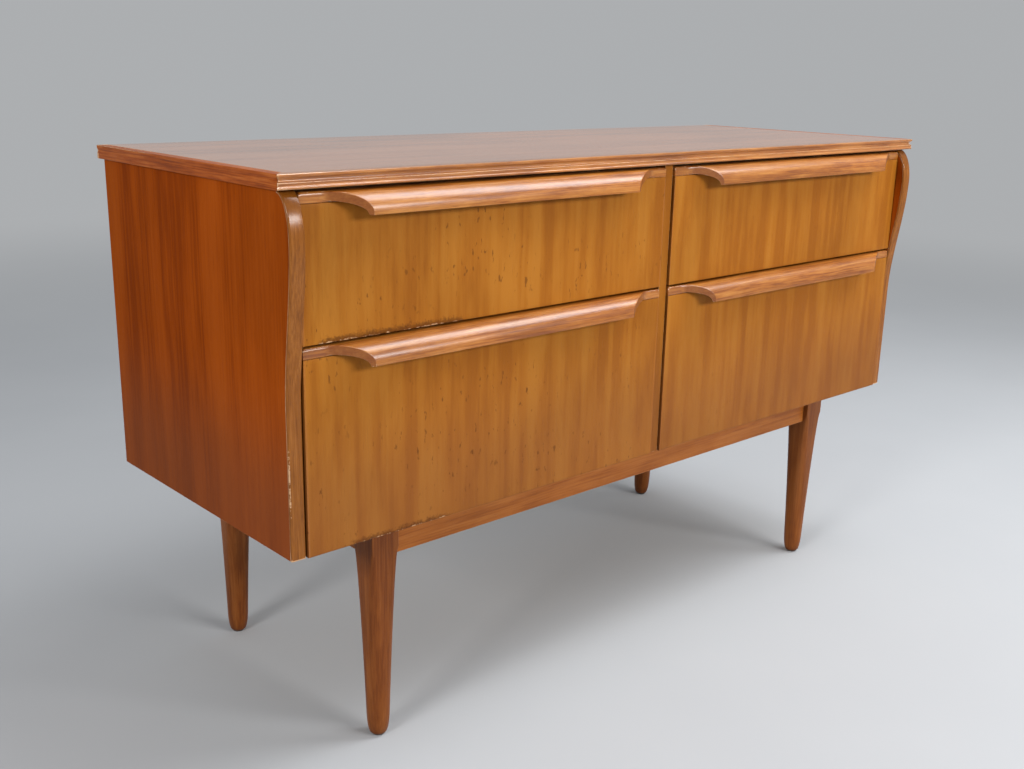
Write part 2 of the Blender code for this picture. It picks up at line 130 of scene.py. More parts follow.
# Drawer fronts: depth of the band on each end face that is painted dark as the shade in the gaps beside
# them, how far above their lower edge the rows of points lie, and how high the worn lacquer and the stain
# reach there
END_SHADE_BAND = 0.0004
FRONT_ROWS = (0.0042, 0.0065, 0.0095, 0.018, 0.034)
FRONT_WEAR_FULL = 0.001
FRONT_WEAR_REACH = 0.0045
FRONT_CHIP_REACH = 0.0090
FRONT_STAIN_REACH = 0.016
FRONT_RUBBED = 0.62
FRONT_BATTERED = 0.28
FRONT_PATCHY = 0.26
SPECKS_LEFT = 0.60
SPECKS_RIGHT = 0.15

# Share of a front's width over which its chips grow and die away, and the size of the chips: how many
# coarse and fine ones fit in a metre, and how deep the fine ones are beside the coarse ones
CHIP_RAMP = 0.04
COARSE_CHIPS = 110.0
FINE_CHIPS = 300.0
FINE_CHIP_SHARE = 0.35

# Where each drawer front's lower edge is chipped, from 0 at its left end to 1 at its right end:
# start, end, depth of the chips and strength of the dark stain
FRONT_CHIPS = {
    "upper_left": (0.02, 0.42, 0.0026, 1.0),
    "upper_right": (0.40, 0.60, 0.0004, 0.2),
    "lower_left": (0.08, 0.38, 0.0026, 0.9),
    "lower_right": (0.15, 0.40, 0.0004, 0.2),
}

# Chipped stretch of the left lipping's outer corner: heights where it starts, is full, ends and is over
CHIPPED_HEIGHTS = (0.330, 0.372, 0.408, 0.450)
CHIP_DEPTH = 0.0012
CORNER_UNEVENNESS = 0.0003
LIPPING_RUBBED = 1.3
LIPPING_CHIPPED = 0.65

# How far an edge turns before its lacquer starts to go, and where it is gone
WEAR_START_ANGLE = math.radians(12)
WEAR_FULL_ANGLE = math.radians(24)

# Dents in the top moulding, and pins along the edges of the back panel
DENT_DEPTH = 0.00012
PIN_INSET = 0.012
PIN_RADIUS = 0.0012
PIN_FLATTENING = 0.35
PIN_COLOUR = (0.55, 0.53, 0.50)
GLIDE_COLOUR = (0.030, 0.026, 0.023)

# Room and floor: the floor's paint fades into the colour of the room far out
ROOM_COLOUR = (0.90, 0.925, 0.95)
ROOM_BRIGHTNESS = 0.46
FLOOR_PAINT = ((0.420, 0.432, 0.450), (0.450, 0.462, 0.478))
FLOOR_SIZE = 20.0
FLOOR_ROUGHNESS = 0.6
FLOOR_FADE_START = 1.5
FLOOR_FADE_END = 5.0

# Name, place, what it points at, width, height, power and colour of each soft light
LIGHTS = (
    ("key", (0.9, -3.4, 1.7), (0.0, 0.0, 0.45), 1.8, 0.6, 96.0, (1.0, 0.985, 0.965)),
    ("fill", (-3.4, -0.9, 1.55), (0.0, 0.0, 0.45), 0.9, 0.7, 58.0, (1.0, 0.98, 0.96)),
    ("window", (1.15, -0.80, 2.9), (-0.1, -0.2, 0.6), 1.2, 2.4, 86.0, (0.97, 0.985, 1.0)),
)

RECORD = frame["record"]
BODY_OF = {node: body for body, nodes in RECORD["behaviour"]["bodies"].items() for node in nodes}
DRAWERS = ("upper_left", "upper_right", "lower_left", "lower_right")


# ---------------------------------------------------------------- materials

class Shader:
    """A material with short calls that add and join its nodes."""

    def __init__(self, name):
        self.material = bpy.data.materials.new(name)
        self.material.use_nodes = True
        self.tree = self.material.node_tree
        self.surface = self.tree.nodes["Principled BSDF"]

    def feed(self, socket, value):
        if isinstance(value, bpy.types.NodeSocket):
            self.tree.links.new(value, socket)
        elif socket.type == "RGBA":
            socket.default_value = (*value, 1.0)
        else:
            socket.default_value = value

    def math(self, operation, a, b=0.0):
        node = self.tree.nodes.new("ShaderNodeMath")
        node.operation = operation
        self.feed(node.inputs[0], a)
        self.feed(node.inputs[1], b)
        return node.outputs[0]

    def vector(self, operation, a, b=(0.0, 0.0, 0.0)):
        node = self.tree.nodes.new("ShaderNodeVectorMath")
        node.operation = operation
        self.feed(node.inputs[0], a)
        self.feed(node.inputs[1], b)
        return node.outputs[0]

    def split(self, vector):
        node = self.tree.nodes.new("ShaderNodeSeparateXYZ")
        self.feed(node.inputs[0], vector)
        return node.outputs

    def mix(self, factor, a, b, blend="MIX"):
        node = self.tree.nodes.new("ShaderNodeMix")
        node.data_type = "RGBA"
        node.blend_type = blend
        self.feed(node.inputs[0], factor)
        self.feed(node.inputs[6], a)
        self.feed(node.inputs[7], b)
        return node.outputs[2]

    def remap(self, value, low, high, new_low=0.0, new_high=1.0):
        node = self.tree.nodes.new("ShaderNodeMapRange")
        node.interpolation_type = "SMOOTHSTEP"
        self.feed(node.inputs["Value"], value)
        for key, number in (("From Min", low), ("From Max", high), ("To Min", new_low), ("To Max", new_high)):
            node.inputs[key].default_value = number
        return node.outputs["Result"]

    def noise(self, vector, scale, detail=2.0, roughness=0.5):
        node = self.tree.nodes.new("ShaderNodeTexNoise")
        self.feed(node.inputs["Vector"], vector)
        for key, number in (("Scale", scale), ("Detail", detail), ("Roughness", roughness)):
            node.inputs[key].default_value = number
        return node.outputs["Fac"]

    def place(self, offset=(0.0, 0.0, 0.0)):
        coordinates = self.tree.nodes.new("ShaderNodeTexCoord")
        return self.vector("ADD", coordinates.outputs["Object"], offset)

    def facing(self):
        """Direction the surface faces, along the piece's own axes."""
        return self.tree.nodes.new("ShaderNodeTexCoord").outputs["Normal"]

    def attribute(self, name):
        node = self.tree.nodes.new("ShaderNodeAttribute")
        node.attribute_name = name
        return node.outputs["Fac"]

    def bump(self, height, distance):
        node = self.tree.nodes.new("ShaderNodeBump")
        node.inputs["Distance"].default_value = distance
        self.feed(node.inputs["Height"], height)
        self.feed(self.surface.inputs["Normal"], node.outputs["Normal"])

    def box_edges(self, low, high, width):
        """1 along the edges of a box, falling to 0 at a width from them."""
        place = self.place()
        from_low = self.vector("SUBTRACT", place, tuple(low))
        from_high = self.vector("SUBTRACT", tuple(high), place)
        x, y, z = self.split(self.vector("MINIMUM", from_low, from_high))
        pairs = [self.math("MAXIMUM", a, b) for a, b in ((x, y), (y, z), (x, z))]
        nearest = self.math("MINIMUM", self.math("MINIMUM", pairs[0], pairs[1]), pairs[2])
        return self.remap(nearest, 0.0, width, 1.0, 0.0)


# Each wood: dark, middle and light colours, how many bands and streaks fit across a metre, what share of
# the tone comes from the bands, how dark its pores are, how strongly shade is painted into it low down, and
# its lacquer
WOODS = {
    "side": {
        "tones": ((0.185, 0.030, 0.001), (0.262, 0.047, 0.002), (0.305, 0.060, 0.004)),
        "band": 22.0, "streak": 260.0, "band_amount": 0.66, "pores": 0.16, "low_shade": 0.50,
        "roughness": 0.42, "specular": 0.01, "coat": 0.0, "coat_roughness": 0.3,
    },
    "top": {
        "tones": ((0.280, 0.098, 0.030), (0.390, 0.145, 0.046), (0.460, 0.185, 0.070)),
        "band": 20.0, "streak": 260.0, "band_amount": 0.55, "pores": 0.14, "low_shade": 0.00,
        "roughness": 0.30, "specular": 0.40, "coat": 1.0, "coat_roughness": 0.16,
    },
    "front": {
        "tones": ((0.268, 0.085, 0.007), (0.317, 0.109, 0.010), (0.352, 0.132, 0.015)),
        "band": 44.0, "streak": 300.0, "band_amount": 0.87, "pores": 0.12, "low_shade": 0.40,
        "roughness": 0.40, "specular": 0.08, "coat": 0.0, "coat_roughness": 0.3,
    },
    "handle": {
        "tones": ((0.205, 0.052, 0.004), (0.335, 0.108, 0.012), (0.450, 0.178, 0.033)),
        "band": 130.0, "streak": 620.0, "band_amount": 0.55, "pores": 0.40, "low_shade": 0.00,
        "roughness": 0.36, "specular": 0.08, "coat": 1.0, "coat_roughness": 0.26,
    },
    "moulding": {
        "tones": ((0.225, 0.064, 0.008), (0.370, 0.126, 0.020), (0.480, 0.200, 0.048)),
        "band": 130.0, "streak": 560.0, "band_amount": 0.50, "pores": 0.35, "low_shade": 0.00,
        "roughness": 0.34, "specular": 0.20, "coat": 1.0, "coat_roughness": 0.18,
    },
    "side_moulding": {
        "tones": ((0.190, 0.036, 0.004), (0.300, 0.064, 0.007), (0.400, 0.110, 0.020)),
        "band": 140.0, "streak": 560.0, "band_amount": 0.50, "pores": 0.35, "low_shade": 0.00,
        "roughness": 0.34, "specular": 0.05, "coat": 0.10, "coat_roughness": 0.16,
    },
    "lipping": {
        "tones": ((0.165, 0.050, 0.005), (0.230, 0.073, 0.008), (0.292, 0.104, 0.016)),
        "band": 150.0, "streak": 640.0, "band_amount": 0.45, "pores": 0.35, "low_shade": 0.00,
        "roughness": 0.36, "specular": 0.02, "coat": 0.50, "coat_roughness": 0.20,
    },
    "leg": {
        "tones": ((0.130, 0.033, 0.005), (0.180, 0.050, 0.008), (0.230, 0.072, 0.014)),
        "band": 80.0, "streak": 420.0, "band_amount": 0.55, "pores": 0.25, "low_shade": 0.00,
        "roughness": 0.40, "specular": 0.12, "coat": 0.12, "coat_roughness": 0.25,
    },
    "rail": {
        "tones": ((0.225, 0.062, 0.009), (0.300, 0.092, 0.014), (0.360, 0.125, 0.025)),
        "band": 80.0, "streak": 420.0, "band_amount": 0.55, "pores": 0.25, "low_shade": 0.00,
        "roughness": 0.40, "specular": 0.12, "coat": 0.12, "coat_roughness": 0.25,
    },
    "timber": {
        "tones": ((0.430, 0.270, 0.130), (0.560, 0.385, 0.205), (0.640, 0.470, 0.275)),
        "band": 60.0, "streak": 380.0, "band_amount": 0.55, "pores": 0.20, "low_shade": 0.00,
        "roughness": 0.66, "specular": 0.40, "coat": 0.0, "coat_roughness": 0.5,
    },
}
HARDBOARD_TONES = ((0.210, 0.120, 0.062), (0.300, 0.180, 0.098), (0.130, 0.068, 0.032))
WORN_COLOUR = (0.540, 0.330, 0.180)
# Dark colour of real stains and specks, also painted on the end faces of drawer fronts as shade
STAIN_AND_SHADE_COLOUR = (0.070, 0.018, 0.004)
# Painted shade: the colour wood is darkened and dulled towards near the floor; full at and below the lower
# height, gone at the upper
LOW_SHADE_COLOUR = (0.140, 0.050, 0.024)
LOW_SHADE_TOP_Z = 0.52
LOW_SHADE_FULL_Z = 0.33
FIGURE_STRETCH = 0.16
END_GRAIN_RANGE = (0.10, 0.45)
END_GRAIN_DEPTH = 0.70
END_GRAIN_SHADE = 0.85
GRAIN_STRETCH = {"x": (0.020, 1.0, 1.0), "y": (1.0, 0.020, 1.0), "z": (1.0, 1.0, 0.020)}
WAVER_REACH = {"x": (0.0, 0.010, 0.010), "y": (0.010, 0.0, 0.010), "z": (0.010, 0.010, 0.0)}

# Ranges of noise that make bands, streaks and pores, and ranges of tone from dark through middle to light
BAND_RANGE = (0.34, 0.66)
STREAK_RANGE = (0.30, 0.70)
PORE_RANGE = (0.60, 0.72)
DARK_TO_MIDDLE = (0.10, 0.55)
MIDDLE_TO_LIGHT = (0.45, 0.95)

# Slow changes of shade over a piece: how many fit in a metre, and the darkest and lightest
SHADE_SCALE = 4.5
SHADE_SPAN = (0.90, 1.08)

# Specks, scuffs and chips per metre
SPECK_SCALE = 190.0
SPECK_SPREAD_SCALE = 9.0
SPECK_STRETCH = (1.0, 1.0, 0.45)
SPECK_RANGE = (0.64, 0.72)
SPECK_SPREAD_RANGE = (0.40, 0.62)
SCUFF_SCALE = 130.0
CHIP_SCALE = 420.0

# Lacquer is worn through where wear plus scuffs lies in the first range. Where the stain attribute plus
# scuffs lies in the second, it is stained, and on the end faces of drawer fronts it is painted dark as shade
WORN_RANGE = (1.50, 1.64)
WORN_DEPTH = 0.88
STAIN_AND_SHADE_RANGE = (1.15, 1.60)
STAIN_AND_SHADE_DEPTH = 0.72
SCUFF_SHARE = 0.65
RELIEF = 0.00016

# What streaks, scuffs and worn places add to the roughness
STREAK_ROUGHNESS = 0.06
SCUFF_ROUGHNESS = 0.05
WORN_ROUGHNESS = 0.22

# Width of the worn strip along the edges of plain boards, and of veneered ones
BOARD_WORN_WIDTH = 0.0022
VENEER_WORN_WIDTH = 0.0012


def wood(name, kind, grain, seed, edges=None, edge_width=BOARD_WORN_WIDTH, specks=0.0):
    """Lacquered wood with its grain along one axis, stained and worn along its edges, with painted shade low
    down and, through the stain attribute, on the end faces of drawer fronts.
    """
    look = WOODS[kind]
    dark, middle, light = look["tones"]
    shader = Shader(name)
    place = shader.place((seed * 1.37, seed * 2.11, seed * 0.73))

    waver = shader.noise(place, 2.5, 2.0)
    shift = shader.vector("MULTIPLY", shader.vector("ADD", (-0.5, -0.5, -0.5), waver), WAVER_REACH[grain])
    along = shader.vector("MULTIPLY", shader.vector("ADD", place, shift), GRAIN_STRETCH[grain])
    bands = shader.noise(along, look["band"], 2.5, 0.55)
    streaks = shader.noise(along, look["streak"], 4.0, 0.62)
    figure_stretch = tuple(FIGURE_STRETCH if part < 1.0 else 1.0 for part in GRAIN_STRETCH[grain])
    figure = shader.noise(shader.vector("MULTIPLY", place, figure_stretch), look["band"] * 0.8, 3.0, 0.6)
    pore_noise = shader.noise(shader.vector("MULTIPLY", along, (3.0, 3.0, 3.0)), look["streak"] * 2.2, 1.0)
    pores = shader.remap(pore_noise, *PORE_RANGE)

    wide = shader.math("ADD", shader.math("MULTIPLY", bands, 0.5), shader.math("MULTIPLY", figure, 0.5))
    low_band = shader.remap(wide, *BAND_RANGE)
    low_streak = shader.remap(streaks, *STREAK_RANGE)
    tone = shader.math("MULTIPLY", low_band, look["band_amount"])
    tone = shader.math("ADD", tone, shader.math("MULTIPLY", low_streak, 1.0 - look["band_amount"]))
    colour = shader.mix(shader.remap(tone, *DARK_TO_MIDDLE), dark, middle)
    colour = shader.mix(shader.remap(tone, *MIDDLE_TO_LIGHT), colour, light)
    colour = shader.mix(shader.math("MULTIPLY", pores, look["pores"]), colour, dark, "MULTIPLY")
    shade = shader.remap(shader.noise(place, SHADE_SCALE, 3.0), 0.30, 0.70, *SHADE_SPAN)
    colour = shader.mix(1.0, colour, shade, "MULTIPLY")
    facing = shader.math("ABSOLUTE", shader.split(shader.facing())["xyz".index(grain)])
    end_grain = shader.remap(facing, *END_GRAIN_RANGE, 0.0, END_GRAIN_DEPTH)
    colour = shader.mix(end_grain, colour, tuple(END_GRAIN_SHADE * part for part in dark))
    # Painted shade: darker and duller towards the floor
    if look["low_shade"]:
        height = shader.split(shader.place())[2]
        low_shade = shader.remap(height, LOW_SHADE_FULL_Z, LOW_SHADE_TOP_Z, look["low_shade"], 0.0)
        colour = shader.mix(low_shade, colour, LOW_SHADE_COLOUR)
    if specks:
        stretched = shader.vector("MULTIPLY", place, SPECK_STRETCH)
        speck_noise = shader.noise(stretched, SPECK_SCALE, 2.0, 0.55)
        spread_noise = shader.remap(shader.noise(place, SPECK_SPREAD_SCALE, 2.0), *SPECK_SPREAD_RANGE)
        speck = shader.math("MULTIPLY", shader.remap(speck_noise, *SPECK_RANGE), spread_noise)
        colour = shader.mix(shader.math("MULTIPLY", speck, specks), colour, STAIN_AND_SHADE_COLOUR)

    scuff = shader.noise(place, SCUFF_SCALE, 3.0, 0.6)
    wear = shader.attribute("wear")
    if edges is not None:
        wear = shader.math("MAXIMUM", wear, shader.box_edges(*edges, edge_width))
    chips = shader.noise(place, CHIP_SCALE, 2.0, 0.55)
    patchy = shader.math("MULTIPLY", shader.math("ADD", scuff, chips), SCUFF_SHARE)
    worn = shader.remap(shader.math("ADD", wear, patchy), *WORN_RANGE, 0.0, WORN_DEPTH)
    colour = shader.mix(worn, colour, WORN_COLOUR)
    # The stain attribute holds real stains, and painted shade on the end faces of drawer fronts
    stain_and_shade = shader.math("ADD", shader.attribute("stain"), patchy)
    unworn = shader.math("SUBTRACT", 1.0, worn)
    stain_and_shade_mask = shader.math("MULTIPLY", shader.remap(stain_and_shade, *STAIN_AND_SHADE_RANGE, 0.0, STAIN_AND_SHADE_DEPTH), unworn)
    colour = shader.mix(stain_and_shade_mask, colour, STAIN_AND_SHADE_COLOUR)
    shader.feed(shader.surface.inputs["Base Color"], colour)

    rough = shader.math("ADD", look["roughness"], shader.math("MULTIPLY", low_streak, STREAK_ROUGHNESS))
    scuffed = shader.math("MULTIPLY", shader.remap(scuff, 0.4, 0.7), SCUFF_ROUGHNESS)
    rough = shader.math("ADD", rough, scuffed)
    rough = shader.math("ADD", rough, shader.math("MULTIPLY", worn, WORN_ROUGHNESS))
    shader.feed(shader.surface.inputs["Roughness"], rough)
    shader.surface.inputs["Specular IOR Level"].default_value = look["specular"]
    shader.surface.inputs["Coat Weight"].default_value = look["coat"]
    shader.surface.inputs["Coat Roughness"].default_value = look["coat_roughness"]
    pits = shader.math("MULTIPLY", pores, 0.5)
    relief = shader.math("SUBTRACT", shader.math("MULTIPLY", streaks, 0.5), pits)
    shader.bump(shader.math("SUBTRACT", relief, shader.math("MULTIPLY", worn, 0.5)), RELIEF)
    return shader.material


def bare_panel(name, colours, seed, roughness=0.70):
    """Unlacquered pressed board: fine mottle, faint fibres and a dull surface."""
    shader = Shader(name)
    place = shader.place((seed * 0.91, seed * 1.53, seed * 0.37))
    mottle = shader.noise(place, 420.0, 4.0, 0.65)
    cloud = shader.noise(place, 6.0, 3.0)
    fibres = shader.noise(shader.vector("MULTIPLY", place, (1.0, 0.25, 0.6)), 900.0, 2.0)
    colour = shader.mix(shader.remap(mottle, 0.35, 0.68), colours[0], colours[1])
    colour = shader.mix(shader.remap(fibres, 0.62, 0.74, 0.0, 0.5), colour, colours[2])
    colour = shader.mix(1.0, colour, shader.remap(cloud, 0.3, 0.7, 0.86, 1.08), "MULTIPLY")
    shader.feed(shader.surface.inputs["Base Color"], colour)
    rough = shader.math("ADD", roughness, shader.math("MULTIPLY", mottle, 0.12))
    shader.feed(shader.surface.inputs["Roughness"], rough)
    shader.bump(mottle, 0.0002)
    return shader.material


def moulded_plastic(name, colour):
    """Dark plastic with a fine moulded grain and pale scuffs."""
    shader = Shader(name)
    place = shader.place()
    grain = shader.noise(place, 2600.0, 2.0)
    drawn = shader.vector("MULTIPLY", place, (1.0, 0.2, 1.0))
    scuffs = shader.remap(shader.noise(drawn, 900.0, 3.0), 0.58, 0.74)
    pale = tuple(4.0 * value for value in colour)
    tone = shader.mix(shader.math("MULTIPLY", scuffs, 0.5), colour, pale)
    shader.feed(shader.surface.inputs["Base Color"], tone)
    rough = shader.math("ADD", 0.38, shader.math("MULTIPLY", scuffs, 0.25))
    shader.feed(shader.surface.inputs["Roughness"], rough)
    shader.bump(grain, 0.00008)
    return shader.material


def bright_metal(name, colour):
    """Drawn steel of small pins, dulled in patches."""
    shader = Shader(name)
    place = shader.place()
    patches = shader.remap(shader.noise(place, 700.0, 3.0), 0.45, 0.65)
    dull = tuple(0.45 * value for value in colour)
    shader.feed(shader.surface.inputs["Base Color"], shader.mix(patches, colour, dull))
    rough = shader.math("ADD", 0.28, shader.math("MULTIPLY", patches, 0.25))
    shader.feed(shader.surface.inputs["Roughness"], rough)
    shader.surface.inputs["Metallic"].default_value = 1.0
    shader.bump(patches, 0.00005)
    return shader.material


# ---------------------------------------------------------------- meshes

def loft(rings):
    """Closed solid through rings of points, with a flat cap at each end."""
    bm = bmesh.new()
    loops = [[bm.verts.new(point) for point in ring] for ring in rings]
    count = len(rings[0])
    for lower, upper in zip(loops, loops[1:]):
        for i in range(count):
            j = (i + 1) % count
            bm.faces.new((lower[i], lower[j], upper[j], upper[i]))
    bm.faces.new(list(reversed(loops[0])))
    bm.faces.new(loops[-1])
    bmesh.ops.recalc_face_normals(bm, faces=bm.faces)
    return bm


def paint_wear(bm, rubbed=lambda place: 1.0):
    """Mark the outward corners of a mesh, where lacquer goes first, as strongly as each place is rubbed."""
    layer = bm.verts.layers.float.new("wear")
    for vert in bm.verts:
        angles = [edge.calc_face_angle_signed(0.0) for edge in vert.link_edges]
        share = (max(angles) - WEAR_START_ANGLE) / (WEAR_FULL_ANGLE - WEAR_START_ANGLE)
        vert[layer] = min(max(share, 0.0), 1.0) * rubbed(vert.co)


def paint(bm, name, amount):
    """Store amount(place) on every point of a mesh."""
    layer = bm.verts.layers.float.new(name)
    for vert in bm.verts:
        vert[layer] = amount(vert.co)


def add_piece(name, bm, material, body, ease=0.0, smooth_angle=35.0):
    mesh = bpy.data.meshes.new(name)
    bm.to_mesh(mesh)
    bm.free()
    mesh.shade_smooth()
    mesh.set_sharp_from_angle(angle=math.radians(smooth_angle))
    mesh.materials.append(material)
    piece = bpy.data.objects.new(name, mesh)
    bpy.context.scene.collection.objects.link(piece)
    if ease:
        bevel = piece.modifiers.new("eased_edges", "BEVEL")
        bevel.width = ease
        bevel.segments = 2
        bevel.limit_method = "ANGLE"
        bevel.angle_limit = math.radians(smooth_angle)
        bevel.harden_normals = True
    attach(piece, body)
    return piece


def stand_in(node, bm, material, ease=0.0, smooth_angle=35.0):
    """Show a finer mesh in place of one node of the model."""
    piece = add_piece(node + "_shaped", bm, material, BODY_OF[node], ease, smooth_angle)
    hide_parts(node)
    return piece


def board_mesh(low, high):
    bm = bmesh.new()
    bmesh.ops.create_cube(bm, size=1.0)
    bmesh.ops.scale(bm, vec=high - low, verts=bm.verts)
    bmesh.ops.translate(bm, vec=(low + high) / 2, verts=bm.verts)
    return bm


def smooth_step(t):
    return t * t * (3 - 2 * t)


def fraction(value, start, end):
    """How far value has come from start to end, kept between 0 and 1."""
    return min(max((value - start) / (end - start), 0.0), 1.0)


def spread(points, count):
    """That many points, evenly spaced along a line through points, its ends included."""
    lengths = [0.0]
    for a, b in zip(points, points[1:]):
        lengths.append(lengths[-1] + math.dist(a, b))
    result = []
    segment = 0
    for i in range(count):
        target = lengths[-1] * i / (count - 1)
        while segment < len(points) - 2 and lengths[segment + 1] < target:
            segment += 1
        span = lengths[segment + 1] - lengths[segment]
        share = (target - lengths[segment]) / span if span else 0.0
        a, b = points[segment], points[segment + 1]
        result.append(tuple(p + (q - p) * min(share, 1.0) for p, q in zip(a, b)))
    return result


def soften(points, rounds):
    """Cut the corners of an open outline again and again, keeping its two ends."""
    for _ in range(rounds):
        cut = [points[0]]
        for a, b in zip(points, points[1:]):
            cut.append(tuple(0.75 * p + 0.25 * q for p, q in zip(a, b)))
            cut.append(tuple(0.25 * p + 0.75 * q for p, q in zip(a, b)))
        cut.append(points[-1])
        points = cut
    return points


def ripple(*place, scale=40.0):
    """Smooth noise between -1 and 1."""
    return noise.noise(Vector(place) * scale)


# ---------------------------------------------------------------- top

top_low, top_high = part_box("top_board")
front_edge_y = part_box("top_moulding_front")[0].y
outer_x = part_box("top_moulding_right")[1].x
total_height = top_high.z
top_thickness = top_high.z - top_low.z


def moulding_dent(along, out, drop):
    """How deep the moulding is dented at a place along it, on one line of its profile."""
    return DENT_DEPTH * ripple(along, out * 9, drop * 9, scale=60.0) * min(out / MOULDING_WIDTH, 1.0)


def build_top():
    material = wood("top_veneer_wood", "top", "x", 1, (top_low, top_high), VENEER_WORN_WIDTH)
    stand_in("top_board", board_mesh(top_low, top_high), material, ease=TOP_EASE)

    inner_x = outer_x - MOULDING_WIDTH
    inner_y = front_edge_y + MOULDING_WIDTH
    curve = [(MOULDING_WIDTH - inset, -drop) for inset, drop in MOULDING_CURVE]
    profile = soften([(0.0, 0.0), *curve, (0.0, -top_thickness)], 2)
    half_gap = FIT_GAP / math.sqrt(2)
    steps = 60
    rings = []
    for i in range(steps + 1):
        share = 2 * i / steps - 1
        ring = []
        for out, drop in profile:
            x = share * (inner_x - half_gap + out)
            dent = moulding_dent(x, out, drop)
            ring.append((x, inner_y - out - dent, total_height + drop))
        rings.append(ring)
    bm = loft(rings)
    paint_wear(bm)
    stand_in("top_moulding_front", bm, wood("moulding_wood_front", "moulding", "x", 2))

    back_y = top_high.y

    def rubbing(place):
        start, full = SIDE_BACK_RUB_REACH
        return SIDE_RUBBED + SIDE_BACK_RUBBED * fraction(place.y, back_y - start, back_y - full)

    steps = 24
    shares = [0.0, MITRE_BLEND, *((i + 1) / steps for i in range(steps))]
    for side, name in ((-1, "left"), (1, "right")):
        rings = []
        for share in shares:
            flatness = SIDE_FLATNESS if share else 0.0
            ring = []
            for out, drop in profile:
                start_y = inner_y - out + half_gap
                y = start_y + (back_y - start_y) * share
                reach = out + (MOULDING_WIDTH - out) * flatness if out else 0.0
                dent = moulding_dent(y, out, drop)
                ring.append((side * (inner_x + min(reach + dent, MOULDING_WIDTH)), y, total_height + drop))
            rings.append(ring)
        bm = loft(rings)
        paint_wear(bm, rubbing)
        stand_in("top_moulding_" + name, bm, wood("moulding_wood_" + name, "side_moulding", "y", 3 + side))


# ---------------------------------------------------------------- sides and boards

def edge_curve(low_z, high_z, bulge_y):
    """Places and directions, as (y, z, run, rise), up the curved front edge of a side."""
    low_y = front_edge_y + EDGE_LOW_SETBACK
    top_y = front_edge_y + EDGE_TOP_SETBACK
    climb = EDGE_BULGE_Z - EDGE_CURVE_START_Z
    roll = high_z - EDGE_BULGE_Z
    curve = []
    straight_steps = 44
    for i in range(straight_steps):
        curve.append((low_y, low_z + (EDGE_CURVE_START_Z - low_z) * i / straight_steps, 0.0, 1.0))
    curve_steps = 36
    for i in range(curve_steps):
        t = i / curve_steps
        y = low_y + (bulge_y - low_y) * smooth_step(t)
        curve.append((y, EDGE_CURVE_START_Z + climb * t, (bulge_y - low_y) * 6 * t * (1 - t), climb))
    roll_steps = 22
    for i in range(roll_steps + 1):
        angle = math.pi / 2 * i / roll_steps
        y = top_y + (bulge_y - top_y) * math.cos(angle)
        z = EDGE_BULGE_Z + roll * math.sin(angle)
        curve.append((y, z, (top_y - bulge_y) * math.sin(angle), roll * math.cos(angle)))
    return curve


def moved_in(curve, inset):
    """(y, z) points of an edge curve moved square into the side."""
    points = []
    for y, z, run, rise in curve:
        length = math.hypot(run, rise)
        points.append((y + inset * rise / length, z - inset * run / length))
    return points


def build_side_panel(name, seed):
    node = "side_panel_" + name
    low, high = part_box(node)
    curve = edge_curve(low.z, high.z, low.y - LIPPING_THICKNESS - FIT_GAP)
    front = moved_in(curve, LIPPING_THICKNESS + FIT_GAP)
    shoulder_y = front_edge_y + EDGE_TOP_SETBACK + FIT_GAP
    outline = [*front, (shoulder_y, front[-1][1]), (shoulder_y, high.z), (high.y, high.z), (high.y, low.z)]
    bm = loft([[(x, y, z) for y, z in outline] for x in (low.x, high.x)])
    unworn_front = Vector((0.0, LIPPING_THICKNESS + EDGE_TOP_SETBACK, 0.0))
    material = wood(node + "_wood", "side", "z", seed, (low - unworn_front, high), VENEER_WORN_WIDTH)
    stand_in(node, bm, material, ease=SIDE_EASE)


def chipped_stretch(z):
    """1 in the middle of the stretch where the left lipping's outer corner is chipped, 0 beyond it."""
    start, full, end, over = CHIPPED_HEIGHTS
    return fraction(z, start, full) * (1 - fraction(z, end, over))


def lipping_rounding(z, corner_x, chipped):
    """Radius of a lipping's long corner at a height, deeper where it is chipped."""
    radius = EDGE_ROUNDING + CORNER_UNEVENNESS * ripple(z, corner_x, 0.0, scale=70.0)
    if chipped:
        radius += CHIP_DEPTH * chipped_stretch(z) * max(ripple(z, 0.7, 0.2, scale=85.0) + 0.15, 0.0)
    return radius


def lipping_corner(curve, corner_x, direction, chipped):
    """Rings around a rounded long corner of a lipping, from its side face to its front."""
    inner = list(reversed(moved_in(curve, LIPPING_THICKNESS)))
    steps = 5
    rings = []
    for i in range(steps + 1):
        turn = math.pi / 2 * i / steps
        depth = 1 - math.sin(turn)
        across = 1 - math.cos(turn)
        radii = [lipping_rounding(z, corner_x, chipped) for _, z, _, _ in curve]
        ring = []
        for radius, (y, z, run, rise) in zip(radii, curve):
            inset = radius * depth / math.hypot(run, rise)
            ring.append((corner_x + direction * radius * across, y + inset * rise, z - inset * run))
        ring.extend((corner_x + direction * EDGE_ROUNDING * across, y, z) for y, z in inner)
        rings.append(ring)
    return rings


def build_side_lipping(name, chipped):
    node = "side_lipping_" + name
    low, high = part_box(node)
    curve = edge_curve(low.z, high.z, low.y)
    rings = lipping_corner(curve, low.x, 1, chipped)
    rings.extend(reversed(lipping_corner(curve, high.x, -1, False)))
    bm = loft(rings)

    def rubbing(place):
        if not chipped or place.x > low.x + LIPPING_THICKNESS:
            return LIPPING_RUBBED
        return LIPPING_RUBBED + LIPPING_CHIPPED * chipped_stretch(place.z)

    paint_wear(bm, rubbing)
    stand_in(node, bm, wood("lipping_wood_" + name, "lipping", "z", 6 + len(name)), smooth_angle=50)


